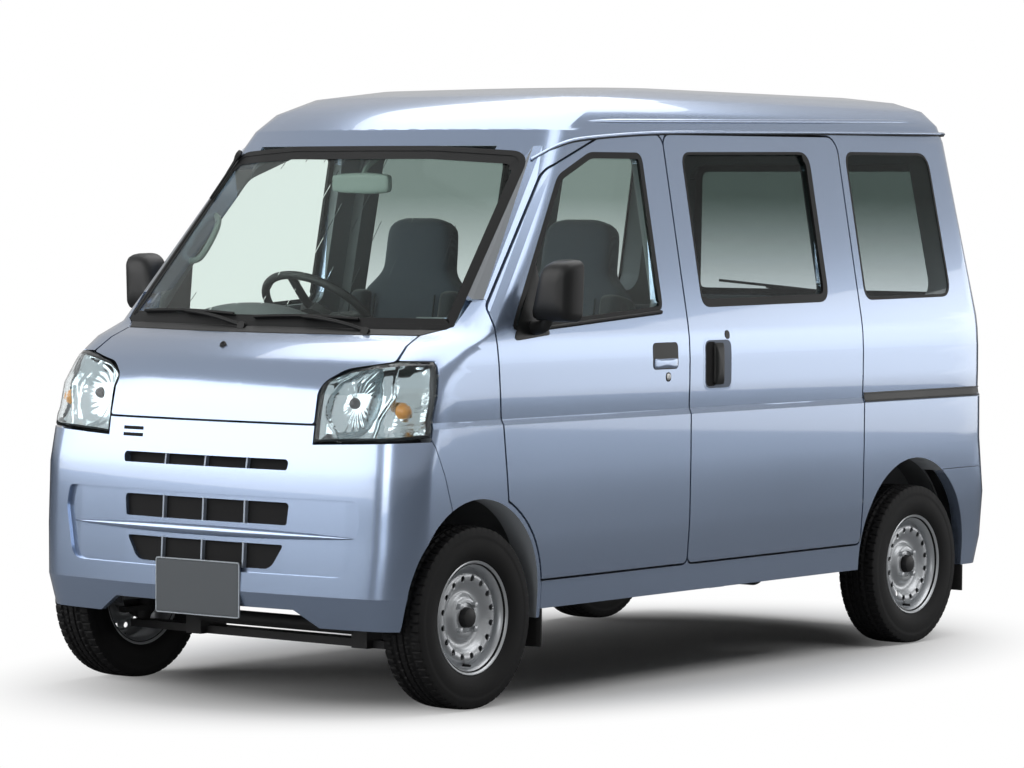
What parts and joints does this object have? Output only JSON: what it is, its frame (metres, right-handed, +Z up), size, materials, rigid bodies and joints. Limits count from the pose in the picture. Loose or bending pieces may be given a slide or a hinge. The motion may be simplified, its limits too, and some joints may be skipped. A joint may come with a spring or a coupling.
{
  "type": "kei van",
  "caption": "Small one-box cargo van with hinged front doors, sliding side doors, lift-up tailgate, bonnet lid, steered front wheels and a rear load floor.",
  "frame": {"origin": "on the ground under the middle of the body's length and width", "axes": "+Z up, +X to the vehicle's left, -Y forward to the nose"},
  "size_m": [1.7944, 3.395, 1.8749],
  "materials": {
    "body_paint": "silver-blue metallic paint under clear coat",
    "window_glass": "light green tempered glass",
    "black_plastic": "grained black plastic",
    "lamp_lens": "clear moulded lens",
    "red_lens": "red moulded lens",
    "chassis_black": "black chassis paint",
    "engine_metal": "cast metal",
    "bare_steel": "dull steel tube",
    "wheel_silver": "silver painted pressed steel",
    "tyre_rubber": "moulded black rubber",
    "flap_rubber": "black sheet rubber",
    "cabin_plastic": "grained grey plastic",
    "seat_fabric": "dark blue-grey woven fabric"
  },
  "bodies": {
    "body": {"side_frame_left": "body_paint", "side_frame_right": "body_paint", "sliding_door_left": "body_paint", "sliding_door_right": "body_paint", "side_glass": "window_glass", "roof": "body_paint", "front_fenders": "body_paint", "front_bumper": "body_paint", "grille": "black_plastic", "headlamps": "lamp_lens", "cowl": "black_plastic", "windshield": "window_glass", "tail_lamps": "red_lens", "rear_bumper": "body_paint", "floor_pan": "body_paint", "front_suspension": "chassis_black", "frame_rails": "chassis_black", "engine": "engine_metal", "rear_axle": "chassis_black", "leaf_springs": "chassis_black", "fuel_tank": "chassis_black", "spare_wheel": "tyre_rubber", "exhaust": "bare_steel", "mud_flaps": "flap_rubber", "dashboard": "cabin_plastic", "front_seats": "seat_fabric", "rear_seat": "seat_fabric"},
    "front_door_left": {"front_door_left": "body_paint", "front_door_glass_left": "window_glass", "mirror_left": "black_plastic"},
    "front_door_right": {"front_door_right": "body_paint", "front_door_glass_right": "window_glass", "mirror_right": "black_plastic"},
    "tailgate": {"tailgate": "body_paint", "tailgate_glass": "window_glass"},
    "bonnet_lid": {"bonnet_lid": "body_paint"},
    "knuckle_left": {"knuckle_left": "chassis_black"},
    "knuckle_right": {"knuckle_right": "chassis_black"},
    "steering_wheel": {"steering_wheel": "cabin_plastic"},
    "wheel_front_left": {"wheel_front_left": "wheel_silver", "tyre_front_left": "tyre_rubber"},
    "wheel_front_right": {"wheel_front_right": "wheel_silver", "tyre_front_right": "tyre_rubber"},
    "wheel_rear_left": {"wheel_rear_left": "wheel_silver", "tyre_rear_left": "tyre_rubber"},
    "wheel_rear_right": {"wheel_rear_right": "wheel_silver", "tyre_rear_right": "tyre_rubber"}
  },
  "joints": [
    {"name": "steer_left", "type": "hinge", "parent": "body", "child": "knuckle_left", "pos_m": [0.6, -1.2825, 0.19], "axis": [-0.225, 0, 0.9744], "range_deg": [-34, 34]},
    {"name": "steer_right", "type": "hinge", "parent": "body", "child": "knuckle_right", "pos_m": [-0.6, -1.2825, 0.19], "axis": [0.225, 0, 0.9744], "range_deg": [-34, 34]},
    {"name": "steering_wheel_turn", "type": "hinge", "parent": "body", "child": "steering_wheel", "pos_m": [-0.34, -0.7335, 1.137], "axis": [0, 0.6428, 0.766], "range_deg": [-612, 612]},
    {"name": "spin_front_left", "type": "hinge", "parent": "knuckle_left", "child": "wheel_front_left", "pos_m": [0.6525, -1.2825, 0.271], "axis": [1, 0, 0], "continuous": true},
    {"name": "spin_rear_left", "type": "hinge", "parent": "body", "child": "wheel_rear_left", "pos_m": [0.65, 1.1675, 0.271], "axis": [1, 0, 0], "continuous": true},
    {"name": "spin_front_right", "type": "hinge", "parent": "knuckle_right", "child": "wheel_front_right", "pos_m": [-0.6525, -1.2825, 0.271], "axis": [1, 0, 0], "continuous": true},
    {"name": "spin_rear_right", "type": "hinge", "parent": "body", "child": "wheel_rear_right", "pos_m": [-0.65, 1.1675, 0.271], "axis": [1, 0, 0], "continuous": true},
    {"name": "door_left", "type": "hinge", "parent": "body", "child": "front_door_left", "pos_m": [0.728, -1.2275, 0.9], "axis": [0, 0, -1], "range_deg": [0, 65]},
    {"name": "door_right", "type": "hinge", "parent": "body", "child": "front_door_right", "pos_m": [-0.728, -1.2275, 0.9], "axis": [0, 0, 1], "range_deg": [0, 65]},
    {"name": "tailgate_lift", "type": "hinge", "parent": "body", "child": "tailgate", "pos_m": [0, 1.5935, 1.7025], "axis": [1, 0, 0], "range_deg": [0, 85]},
    {"name": "lid_lift", "type": "hinge", "parent": "body", "child": "bonnet_lid", "pos_m": [0, -1.3745, 1.098], "axis": [-1, 0, 0], "range_deg": [0, 55]}
  ],
  "couplings": [
    {"joint": "steer_right", "follows": "steer_left", "ratio": 1},
    {"joint": "steering_wheel_turn", "follows": "steer_left", "ratio": 18}
  ]
}
